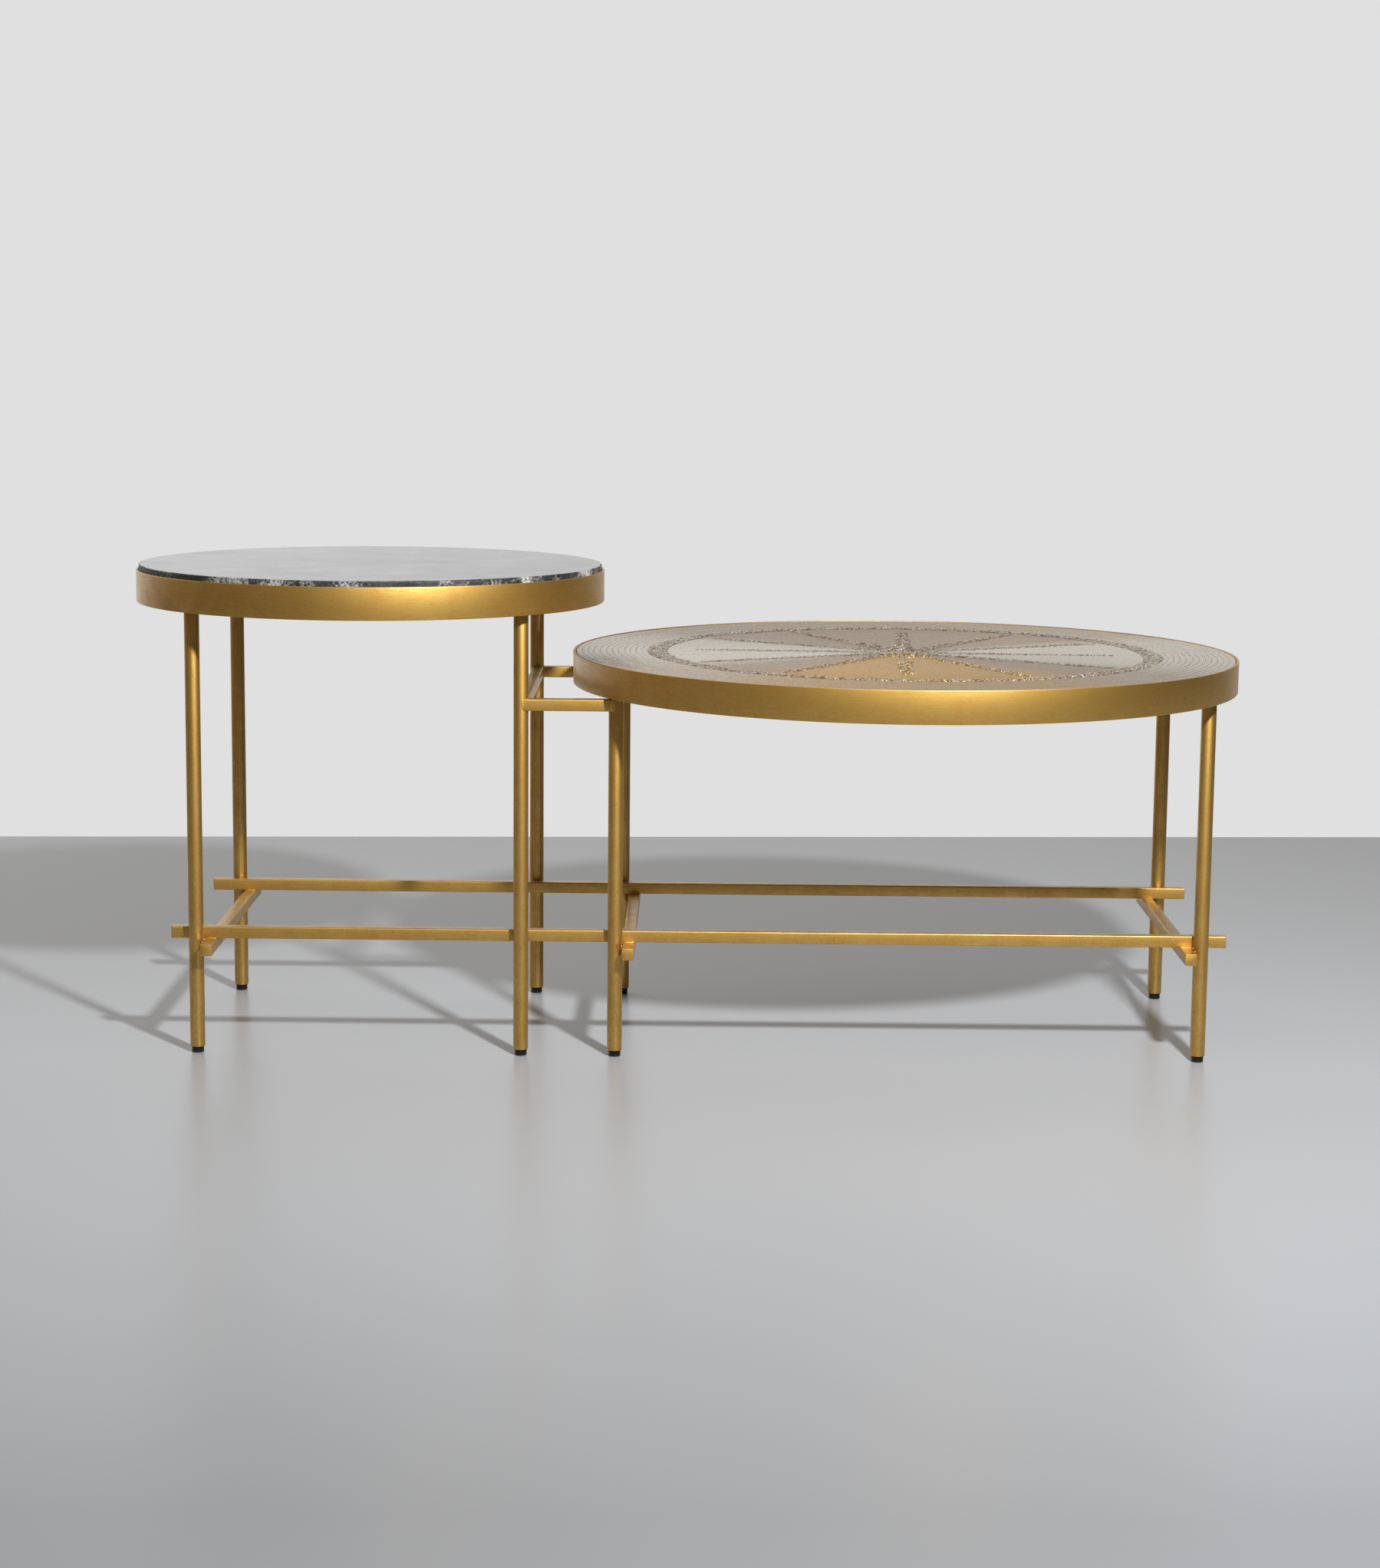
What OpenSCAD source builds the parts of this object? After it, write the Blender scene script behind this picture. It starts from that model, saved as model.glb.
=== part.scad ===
// Two-tier occasional table: a tall round table with a stone top and a low round table with an
// embossed metal top, welded into one frame by two long stretchers and an upper link frame.
// Millimetres, +Z up, +X from the tall table to the low one, -Y is the front.
// The origin is on the floor, under the middle of the whole piece.

/* [Overall] */
// Outer radius of the tall table's band
tall_r = 305; // [260:1:370]
// Outer radius of the low table's band
low_r = 435; // [360:1:525]
// Height of the tall band's upper edge above the floor
tall_band_top = 608; // [500:1:740]
// Height of the low band's upper edge below the tall band's upper edge
top_step = 104; // [80:1:200]
// How far the low top tucks in under the tall top, seen from above
tuck_under = 40; // [20:1:60]

/* [Bands and ledges] */
// Height of the flat bar that is rolled into each band
band_h = 41; // [34:1:60]
// Thickness of that flat bar
band_t = 3; // [2:0.5:5]
// Width of the flat ring that carries each top inside its band
ledge_w = 40; // [32:1:60]
// Thickness of that ring
ledge_t = 3; // [2:0.5:6]

/* [Legs] */
// Outer diameter of the round leg tube
leg_d = 19; // [15:0.5:25]
// Wall of the leg tube
leg_wall = 1.5; // [1:0.25:2.5]
// Distance of every leg's axis from the long centre line
leg_y = 185; // [150:1:205]
// Distance of a tall leg's axis from the tall band's outer face
tall_leg_inset = 27.5; // [20:0.5:32]
// Distance of a low leg's axis from the low band's outer face
low_leg_inset = 18.5; // [17:0.5:32]

/* [Square bars] */
// Outside width and height of the square tube
bar = 15; // [10:0.5:18]
// Wall of the square tube
bar_wall = 1.2; // [0.8:0.1:2]
// Height of the long stretchers' upper faces above the floor
stretcher_z = 161; // [80:1:300]
// How far the long stretchers reach past the outer legs
stretcher_overhang = 24; // [10:1:50]
// How far the lower crossbars reach past the front and back legs
crossbar_overhang = 22; // [10:1:40]
// How far the link bars' middles stand outwards of the leg axes
link_shift = 1.7; // [0:0.1:3]
// Gap between the link bars and the low band's lower edge
link_drop = 3; // [0:0.5:20]

/* [Stone top] */
// Thickness of the stone disc
stone_t = 18; // [14:0.5:30]
// Height of the stone above its band's upper edge
stone_proud = 7; // [2:0.5:12]
// Radial gap between the stone and its band
stone_gap = 0.5; // [0.4:0.1:3]
// Size of the bevel on the stone's upper edge
stone_bevel = 1; // [0.5:0.1:2]
// Number of silicone bumpers under the stone
bumper_count = 6; // [3:1:12]
// Diameter of a bumper
bumper_d = 20; // [10:1:26]
// Thickness of a bumper
bumper_t = 2; // [1:0.5:4]

/* [Embossed top] */
// Thickness of the board that the metal sheet is wrapped over
board_t = 12; // [10:0.5:22]
// Thickness of the embossed sheet
sheet_t = 0.8; // [0.6:0.1:1.5]
// Depth of the rim that folds down over the board's edge
sheet_skirt = 9; // [4:0.5:9]
// Radial gap between the sheet's rim and its band
sheet_gap = 1; // [0.5:0.1:3]
// Depth of the sheet below its band's upper edge
sheet_drop = 0.8; // [0:0.1:2]
// Number of screws that hold the board down
screw_count = 8; // [4:1:16]
// Shank diameter of a board screw
screw_d = 4; // [3:0.5:5]
// Length of a board screw below its head
screw_l = 11; // [8:0.5:11]
// Diameter of a board screw's head
screw_head_d = 8; // [6:0.5:10]
// Height of a board screw's head
screw_head_h = 2.4; // [1.5:0.1:4]

/* [Levelling feet] */
// Diameter of a foot pad
pad_d = 16; // [14:0.5:22]
// Height of a foot pad
pad_h = 7.6; // [6:0.1:12]
// Rounding of the pad's lower edge
pad_round = 1.6; // [0.5:0.1:2.5]
// Gap left under the leg when a foot is screwed right in
pad_gap = 0.4; // [0.2:0.1:2]
// Thread diameter of a foot's stud
stud_d = 8; // [6:0.5:9]
// Length of stud inside the leg when the foot is screwed right in
stud_reach = 26; // [22:1:40]
// Depth of the stud's end in the pad
stud_seat = 5; // [3:0.5:5]
// Length of the threaded insert in a leg's lower end
insert_l = 22; // [16:1:30]
// Radial running clearance of a stud in its insert
thread_clearance = 0.05; // [0.02:0.01:0.1]

/* [Hidden] */
$fn = 96;
// Gap kept at every coped weld joint
weld_gap = 0.05;
// Reach of a cutter past the faces that it cuts
cut = 1;

leg_r = leg_d / 2;
leg_bore_r = leg_r - leg_wall;
leg_foot_z = pad_h + pad_gap;

tall_band_z = tall_band_top - band_h;
low_band_top = tall_band_top - top_step;
low_band_z = low_band_top - band_h;

stone_top = tall_band_top + stone_proud;
stone_z = stone_top - stone_t;
stone_r = tall_r - band_t - stone_gap;
tall_ledge_top = stone_z - bumper_t;

sheet_top = low_band_top - sheet_drop;
sheet_r = low_r - band_t - sheet_gap;
board_r = sheet_r - sheet_t;
board_z = sheet_top - sheet_t - board_t;
low_ledge_top = board_z;

// Both tables' centres lie on the X axis, with the whole length centred on the origin.
centre_gap = tall_r + low_r - tuck_under;
tall_x = tall_r - (tall_r + centre_gap + low_r) / 2;
low_x = tall_x + centre_gap;
tall_leg_dx = sqrt(pow(tall_r - tall_leg_inset, 2) - pow(leg_y, 2));
low_leg_dx = sqrt(pow(low_r - low_leg_inset, 2) - pow(leg_y, 2));

bar_z = stretcher_z - bar;
stretcher_x0 = tall_x - tall_leg_dx - leg_r - stretcher_overhang;
stretcher_x1 = low_x + low_leg_dx + leg_r + stretcher_overhang;
stretcher_y = leg_y - leg_r - bar / 2;
crossbar_y = leg_y + leg_r + crossbar_overhang;
crossbar_z = bar_z - bar;
tall_crossbar_x = tall_x - tall_leg_dx + leg_r + bar / 2;
middle_crossbar_x = low_x - low_leg_dx + leg_r + bar / 2;
low_crossbar_x = low_x + low_leg_dx - leg_r - bar / 2;
link_z = low_band_z - link_drop - bar;
link_x0 = tall_x + tall_leg_dx;
link_x1 = low_x - low_leg_dx;
cross_link_y = leg_y + link_shift - bar / 2;

// One row per leg: name, axis X, axis Y, height of its upper end.
LEGS = [
    for (table = [["tall", tall_x, tall_leg_dx, tall_ledge_top], ["low", low_x, low_leg_dx, low_ledge_top]])
        for (end = [["front", -1], ["back", 1]])
            for (side = [["left", -1], ["right", 1]])
                [str(table[0], "_", end[0], "_", side[0]),
                 table[1] + side[1] * table[2],
                 end[1] * leg_y,
                 table[3] - ledge_t]
];

// A flat ring or a tube standing on its end, centred on x.
module ring(x, y, z, outer_r, inner_r, height, facets = 96) {
    translate([x, y, z])
        difference() {
            cylinder(r = outer_r, h = height, $fn = facets);
            translate([0, 0, -cut])
                cylinder(r = inner_r, h = height + 2 * cut, $fn = facets);
        }
}

// A square tube along X from x0 to x1, with its middle at y and its underside at z.
module bar_along_x(x0, x1, y, z) {
    translate([x0, y - bar / 2, z])
        difference() {
            cube([x1 - x0, bar, bar]);
            translate([-cut, bar_wall, bar_wall])
                cube([x1 - x0 + 2 * cut, bar - 2 * bar_wall, bar - 2 * bar_wall]);
        }
}

// A square tube along Y from y0 to y1, with its middle at x and its underside at z.
module bar_along_y(x, y0, y1, z) {
    translate([x - bar / 2, y0, z])
        difference() {
            cube([bar, y1 - y0, bar]);
            translate([bar_wall, -cut, bar_wall])
                cube([bar - 2 * bar_wall, y1 - y0 + 2 * cut, bar - 2 * bar_wall]);
        }
}

// The round shape that a bar's end is coped with, to fit against a leg.
module leg_cope(x, y, z) {
    translate([x, y, z - cut])
        cylinder(r = leg_r + weld_gap, h = bar + 2 * cut);
}

module tall_band() {
    color("#8f6a28")
        ring(tall_x, 0, tall_band_z, tall_r, tall_r - band_t, band_h, 192);
}

module low_band() {
    color("#8f6a28")
        ring(low_x, 0, low_band_z, low_r, low_r - band_t, band_h, 192);
}

module tall_ledge() {
    color("#6e5220")
        ring(tall_x, 0, tall_ledge_top - ledge_t, tall_r - band_t, tall_r - band_t - ledge_w, ledge_t, 192);
}

// The low ledge has a clearance hole for every board screw.
module low_ledge() {
    color("#6e5220")
        difference() {
            ring(low_x, 0, low_ledge_top - ledge_t, low_r - band_t, low_r - band_t - ledge_w, ledge_t, 192);
            screw_places()
                translate([0, 0, -ledge_t - cut])
                    cylinder(d = screw_d + 0.5, h = ledge_t + 2 * cut, $fn = 32);
        }
}

// Places its children on the low ledge's upper face, once per board screw.
module screw_places() {
    for (i = [0 : screw_count - 1])
        translate([low_x, 0, low_ledge_top])
            rotate([0, 0, i * 360 / screw_count])
                translate([low_r - band_t - ledge_w / 2, 0, 0])
                    children();
}

module stone_bumpers() {
    color("#e8e8e6")
        for (i = [0 : bumper_count - 1])
            translate([tall_x, 0, tall_ledge_top])
                rotate([0, 0, i * 360 / bumper_count])
                    translate([tall_r - band_t - ledge_w / 2, 0, 0])
                        cylinder(d = bumper_d, h = bumper_t, $fn = 48);
}

// The stone disc, with a small bevel round its upper edge.
module stone_top_disc() {
    color("#35373a")
        translate([tall_x, 0, stone_z])
            rotate_extrude($fn = 192)
                polygon([
                    [0, 0],
                    [stone_r, 0],
                    [stone_r, stone_t - stone_bevel],
                    [stone_r - stone_bevel, stone_t],
                    [0, stone_t]
                ]);
}

// The board, with a blind pilot hole for every screw.
module low_board() {
    color("#b08d5f")
        difference() {
            translate([low_x, 0, board_z])
                cylinder(r = board_r, h = board_t, $fn = 192);
            screw_places()
                translate([0, 0, -cut])
                    cylinder(d = screw_d, h = screw_l - ledge_t + cut, $fn = 32);
        }
}

// The embossed sheet, a shallow cap whose rim folds down over the board's edge.
module embossed_sheet() {
    color("#b9ada0")
        translate([low_x, 0, sheet_top])
            difference() {
                translate([0, 0, -sheet_skirt])
                    cylinder(r = sheet_r, h = sheet_skirt, $fn = 192);
                translate([0, 0, -sheet_skirt - cut])
                    cylinder(r = board_r, h = sheet_skirt - sheet_t + cut, $fn = 192);
            }
}

module board_screws() {
    color("#9a9a9a")
        screw_places() {
            translate([0, 0, -ledge_t])
                cylinder(d = screw_d, h = screw_l, $fn = 32);
            translate([0, 0, -ledge_t - screw_head_h])
                cylinder(d = screw_head_d, h = screw_head_h, $fn = 32);
        }
}

module long_stretcher(side) {
    color("#b5893a")
        bar_along_x(stretcher_x0 + bar_wall, stretcher_x1 - bar_wall, side * stretcher_y, bar_z);
}

module lower_crossbar(x) {
    color("#b5893a")
        bar_along_y(x, -crossbar_y + bar_wall, crossbar_y - bar_wall, crossbar_z);
}

// Square plates that close the ends of the stretchers and the lower crossbars.
module bar_end_caps() {
    color("#b5893a") {
        for (side = [-1, 1])
            for (x = [stretcher_x0, stretcher_x1 - bar_wall])
                translate([x, side * stretcher_y - bar / 2, bar_z])
                    cube([bar_wall, bar, bar]);
        for (x = [tall_crossbar_x, middle_crossbar_x, low_crossbar_x])
            for (y = [-crossbar_y, crossbar_y - bar_wall])
                translate([x - bar / 2, y, crossbar_z])
                    cube([bar, bar_wall, bar]);
    }
}

// A link bar between the tall table's right leg and the low table's left leg.
module long_link(side) {
    color("#b5893a")
        difference() {
            bar_along_x(link_x0, link_x1, side * (leg_y + link_shift), link_z);
            leg_cope(link_x0, side * leg_y, link_z);
            leg_cope(link_x1, side * leg_y, link_z);
        }
}

// The link bar between the tall table's two right legs.
module cross_link() {
    color("#b5893a")
        difference() {
            bar_along_y(link_x0 + link_shift, -cross_link_y, cross_link_y, link_z);
            leg_cope(link_x0, -leg_y, link_z);
            leg_cope(link_x0, leg_y, link_z);
        }
}

module leg(row) {
    color("#b5893a")
        ring(row[1], row[2], leg_foot_z, leg_r, leg_bore_r, row[3] - leg_foot_z, 64);
}

// Threaded inserts, drawn without the thread, pressed into the legs' lower ends.
module leg_inserts() {
    color("#8c8f92")
        for (row = LEGS)
            ring(row[1], row[2], leg_foot_z, leg_bore_r, stud_d / 2 + thread_clearance, insert_l, 64);
}

// A moulded pad with a rounded lower edge and a blind hole for its stud.
module foot_pad(row) {
    color("#151515")
        translate([row[1], row[2], 0])
            difference() {
                rotate_extrude($fn = 64)
                    polygon(concat(
                        [[0, 0]],
                        [for (a = [0 : 15 : 90])
                            [pad_d / 2 - pad_round * (1 - sin(a)), pad_round * (1 - cos(a))]],
                        [[pad_d / 2, pad_h], [0, pad_h]]
                    ));
                translate([0, 0, pad_h - stud_seat])
                    cylinder(d = stud_d, h = stud_seat + cut, $fn = 64);
            }
}

module foot_stud(row) {
    color("#a8abae")
        translate([row[1], row[2], pad_h - stud_seat])
            cylinder(d = stud_d, h = stud_seat + pad_gap + stud_reach, $fn = 64);
}

tall_band();
tall_ledge();
stone_bumpers();
stone_top_disc();
low_band();
low_ledge();
low_board();
embossed_sheet();
board_screws();
long_stretcher(-1);  // front_stretcher
long_stretcher(1);  // back_stretcher
bar_end_caps();
lower_crossbar(tall_crossbar_x);  // tall_crossbar
lower_crossbar(middle_crossbar_x);  // middle_crossbar
lower_crossbar(low_crossbar_x);  // low_crossbar
long_link(-1);  // front_link
long_link(1);  // back_link
cross_link();
leg_inserts();
for (row = LEGS) {
    leg(row);
    foot_pad(row);
    foot_stud(row);
}
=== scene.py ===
"""A two-tier occasional table: satin antique brass frame, dark marble top and embossed metal top."""
import math
import random

import bmesh
import bpy
from bpy.props import FloatProperty, FloatVectorProperty, IntProperty, PointerProperty
from mathutils import Matrix, Vector, noise


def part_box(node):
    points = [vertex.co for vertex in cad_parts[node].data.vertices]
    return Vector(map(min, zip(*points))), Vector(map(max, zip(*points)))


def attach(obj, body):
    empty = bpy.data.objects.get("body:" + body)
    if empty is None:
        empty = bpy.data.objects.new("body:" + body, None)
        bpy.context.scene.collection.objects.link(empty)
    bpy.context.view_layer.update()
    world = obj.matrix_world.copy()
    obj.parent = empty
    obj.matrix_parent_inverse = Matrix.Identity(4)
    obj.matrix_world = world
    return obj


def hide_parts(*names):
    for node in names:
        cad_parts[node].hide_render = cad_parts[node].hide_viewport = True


bl_info = {
    "name": "Nesting table finishes",
    "version": (1, 0, 0),
    "blender": (4, 5, 0),
    "location": "3D View > Sidebar > Tables",
    "description": "Builds the visible pieces and finishes of a two-tier nesting table",
    "category": "Object",
}

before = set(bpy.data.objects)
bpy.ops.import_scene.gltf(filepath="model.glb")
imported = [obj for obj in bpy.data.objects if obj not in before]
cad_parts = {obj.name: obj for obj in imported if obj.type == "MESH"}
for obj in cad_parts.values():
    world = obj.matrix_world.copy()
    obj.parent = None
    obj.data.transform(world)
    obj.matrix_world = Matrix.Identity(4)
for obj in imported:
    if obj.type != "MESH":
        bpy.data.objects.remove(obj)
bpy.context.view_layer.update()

MM = 0.001
UP = Vector((0, 0, 1))
# Sockets of the Mix node when it mixes colours.
MIX_A, MIX_B, MIX_RESULT = 6, 7, 2

LEGS = [f"{table}_{end}_{side}" for table in ("tall", "low") for end in ("front", "back")
        for side in ("left", "right")]
STRETCHERS = ("front_stretcher", "back_stretcher")
CROSSBARS = {"tall_crossbar": "tall_{}_left", "middle_crossbar": "low_{}_left",
             "low_crossbar": "low_{}_right"}
LINKS = ("front_link", "back_link", "cross_link")

# Walls that the frame's boxes don't show, and the rounding of cut ends.
LEG_WALL = 1.5 * MM
LEG_END_ROUND = 0.45 * MM
BAR_WALL = 1.2 * MM
PLATE_ROUND = 0.35 * MM
SHEET_WALL = 0.8 * MM
THREAD_PITCH = 1.25 * MM
THREAD_DEPTH = 0.6 * MM


def linear(hex_colour):
    """An sRGB hex colour as linear red, green, blue and alpha."""
    parts = [int(hex_colour[i:i + 2], 16) / 255 for i in (1, 3, 5)]
    return (*[c / 12.92 if c <= 0.04045 else ((c + 0.055) / 1.055) ** 2.4 for c in parts], 1.0)


def colour_setting(name, description, hex_colour):
    """A colour that the sidebar shows."""
    return FloatVectorProperty(name=name, description=description, subtype="COLOR", size=4,
                               min=0, max=1, default=linear(hex_colour))


def length_setting(name, description, millimetres):
    """A length that the sidebar shows."""
    return FloatProperty(name=name, description=description, subtype="DISTANCE", unit="LENGTH",
                         precision=5, default=millimetres * MM)


class FinishSettings(bpy.types.PropertyGroup):
    """Colours of the finishes."""

    brass: colour_setting("Brass", "Plated steel where it catches the light", "#D2AD5C")
    brass_shade: colour_setting("Brass shade", "Darker cloudy patches in the plate", "#A87C34")
    brass_speck: colour_setting("Brass speck", "Pale specks rubbed through the plate", "#E6D29A")
    marble: colour_setting("Marble", "Ground colour of the stone", "#1E1F20")
    marble_cloud: colour_setting("Marble cloud", "Grey clouds in the stone", "#5B5C5B")
    marble_edge: colour_setting("Marble edge", "Nearly black ground of the broken edge", "#0B0C0C")
    marble_vein: colour_setting("Marble vein", "Fine pale veins and crystals", "#CFCFCB")
    sheet: colour_setting("Embossed sheet", "Silvery faces of the embossed metal", "#E6DBC9")
    # Painted light on the petals: the next colour is a painted highlight in gold, the one after it a
    # painted shade in bronze.
    sheet_highlight_gold: colour_setting("Front petal highlight", "Gold painted as highlight on the front petals", "#DDAE55")
    sheet_shade_bronze: colour_setting("Petal shade", "Bronze painted as shade on the front and back petals", "#A88A66")
    sheet_bead_rubbed_and_highlit: colour_setting("Rubbed and highlit beads", "Pale rubbed metal and painted highlight on the bead tops", "#F2E9DC")
    sheet_valley: colour_setting("Sheet valleys", "Brown left in the hollows", "#4E3A28")
    zinc: colour_setting("Zinc", "Zinc plate on screws, studs and inserts", "#A9ABAE")
    plastic: colour_setting("Foot plastic", "Moulded plastic of the feet", "#0B0B0C")
    silicone: colour_setting("Silicone", "Soft bumpers under the stone", "#E6E6E3")
    board: colour_setting("Board", "Raw fibreboard under the embossed sheet", "#A98760")
    floor: colour_setting("Floor", "Plain floor of the studio", "#ADB0B4")
    room: colour_setting("Room", "Warm walls in front of the tables", "#FFE8CC")
    backdrop: colour_setting("Backdrop", "Plain backdrop of the studio", "#E0E0E0")


class ShapeSettings(bpy.types.PropertyGroup):
    """Sizes of the shaped details."""

    band_corner: length_setting("Band corner", "Rounding of the bands' edges", 0.8)
    tube_corner: length_setting("Tube corner", "Outer corner radius of the square tube", 1.4)
    weld: length_setting("Weld bead", "Radius of a weld bead", 1.7)
    rim_width: length_setting("Ridged rim", "Width of the ridged rim of the embossed top", 94)
    ridge_pitch: length_setting("Ridge pitch", "Distance between two ridges of the rim", 7.83)
    ridge_depth: length_setting("Ridge depth", "Depth of the valleys between ridges", 0.9)
    ring_width: length_setting("Bead ring", "Width of the ring of beads inside the rim", 25)
    arc_pitch: length_setting("Arc pitch", "Distance between the fine arcs in the petals", 5)
    bead_pitch: length_setting("Bead pitch", "Distance between neighbouring beads", 5.6)
    bead_height: length_setting("Bead height", "Height of a bead above the sheet", 1.4)
    spokes: IntProperty(name="Spokes", description="Beaded spokes of the embossed top",
                        default=12, min=3, max=24)


class StageSettings(bpy.types.PropertyGroup):
    """Camera, lights and floor."""

    camera_place: FloatVectorProperty(name="Camera place", description="Where the camera stands",
                                      subtype="TRANSLATION", unit="LENGTH",
                                      default=(0.0169, -3.9422, 0.9172))
    camera_tilt: FloatVectorProperty(name="Camera turn", description="Downward tilt, turn and roll",
                                     subtype="EULER", unit="ROTATION",
                                     default=(0.1491, -0.003, 0.0093))
    lens: FloatProperty(name="Lens", description="Focal length in millimetres", default=69.01)
    key_place: FloatVectorProperty(name="Key light place", description="Where the main light hangs",
                                   subtype="TRANSLATION", unit="LENGTH",
                                   default=(0.83, -2.2, 2.02))
    key_size: length_setting("Key light size", "Diameter of the main light", 180)
    key_power: FloatProperty(name="Key light power", description="Power in watts", unit="POWER",
                             default=126)
    floor_end: length_setting("Floor end", "Where the floor meets the backdrop", 1510)
    floor_turn: FloatProperty(name="Floor turn", description="Turn of the floor's far edge",
                              subtype="ANGLE", unit="ROTATION", default=0.0553)
    glow_back: FloatProperty(name="Glow behind", description="Studio light from behind", default=1.0)
    glow_front: FloatProperty(name="Glow in front", description="Studio light from the front",
                              default=0.19)


class TableSettings(bpy.types.PropertyGroup):
    """All settings of the table."""

    finish: PointerProperty(type=FinishSettings)
    shape: PointerProperty(type=ShapeSettings)
    stage: PointerProperty(type=StageSettings)


# Materials

def add_node(tree, kind, links=None, **settings):
    """Adds a node, applies its settings and fills its inputs with values or other nodes' outputs."""
    node = tree.nodes.new(kind)
    for key, value in settings.items():
        setattr(node, key, value)
    for key, value in (links or {}).items():
        socket = node.inputs[key]
        if isinstance(value, bpy.types.NodeSocket):
            tree.links.new(value, socket)
        else:
            socket.default_value = value
    return node


def start_material(name):
    """An empty material with its node tree and the object's own coordinates."""
    material = bpy.data.materials.new(name)
    material.use_nodes = True
    tree = material.node_tree
    tree.nodes.clear()
    place = add_node(tree, "ShaderNodeTexCoord").outputs["Object"]
    return material, tree, place


def end_material(tree, values):
    """Closes a tree with one Principled shader and returns the shader's node."""
    shader = add_node(tree, "ShaderNodeBsdfPrincipled", values)
    add_node(tree, "ShaderNodeOutputMaterial", {"Surface": shader.outputs["BSDF"]})
    return shader


def antique_brass(name, streaks, grain=0.35):
    """Steel plated with brass, toned brown, brushed along the bar and sealed with a satin lacquer.

    The plate is a coloured metal with cloudy patches about 30 mm across, brushing lines about 1 mm
    apart and a few pale specks where the toning is rubbed through. streaks stretches the lines.
    """
    finish = bpy.context.scene.nesting_tables.finish
    material, tree, place = start_material(name)
    clouds = add_node(tree, "ShaderNodeTexNoise",
                      {"Vector": place, "Scale": 1 / (30 * MM), "Detail": 5, "Roughness": 0.62})
    brushed = add_node(tree, "ShaderNodeMapping", {"Vector": place, "Scale": streaks})
    lines = add_node(tree, "ShaderNodeTexNoise",
                     {"Vector": brushed.outputs["Vector"], "Scale": 1 / (14 * MM), "Detail": 4,
                      "Roughness": 0.6})
    grit = add_node(tree, "ShaderNodeTexNoise",
                    {"Vector": place, "Scale": 1 / (2.2 * MM), "Detail": 3, "Roughness": 0.6})
    tone = add_node(tree, "ShaderNodeMath", {0: clouds.outputs["Fac"], 1: lines.outputs["Fac"]},
                    operation="ADD")
    tone = add_node(tree, "ShaderNodeMath", {0: tone.outputs["Value"], 1: grit.outputs["Fac"]},
                    operation="ADD")
    lit = add_node(tree, "ShaderNodeMapRange",
                   {"Value": tone.outputs["Value"], "From Min": 0.9, "From Max": 1.9})
    plate = add_node(tree, "ShaderNodeMix",
                     {0: lit.outputs["Result"], MIX_A: finish.brass_shade, MIX_B: finish.brass},
                     data_type="RGBA")
    specks = add_node(tree, "ShaderNodeMapRange",
                      {"Value": grit.outputs["Fac"], "From Min": 0.70, "From Max": 0.78,
                       "To Max": 0.7})
    colour = add_node(tree, "ShaderNodeMix",
                      {0: specks.outputs["Result"], MIX_A: plate.outputs[MIX_RESULT],
                       MIX_B: finish.brass_speck}, data_type="RGBA")
    rough = add_node(tree, "ShaderNodeMapRange",
                     {"Value": tone.outputs["Value"], "From Min": 1.1, "From Max": 1.9,
                      "To Min": 0.56, "To Max": 0.46})
    bump = add_node(tree, "ShaderNodeBump",
                    {"Height": tone.outputs["Value"], "Strength": grain, "Distance": 0.12 * MM})
    end_material(tree, {"Base Color": colour.outputs[MIX_RESULT], "Metallic": 1.0,
                        "Roughness": rough.outputs["Result"], "Normal": bump.outputs["Normal"],
                        "Coat Weight": 0.6, "Coat Roughness": 0.3})
    return material


def brass_along():
    """Antique brass brushed level, for bands, stretchers, crossbars and links."""
    return get_material("Satin_antique_brass_level", lambda name: antique_brass(name, (0.6, 0.6, 12)))


def brass_upright():
    """Antique brass brushed up and down, for the legs."""
    return get_material("Satin_antique_brass_upright",
                        lambda name: antique_brass(name, (5, 5, 0.5), 0.12))


def get_material(name, make):
    """The material of that name, made the first time it is asked for."""
    return bpy.data.materials.get(name) or make(name)


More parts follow.
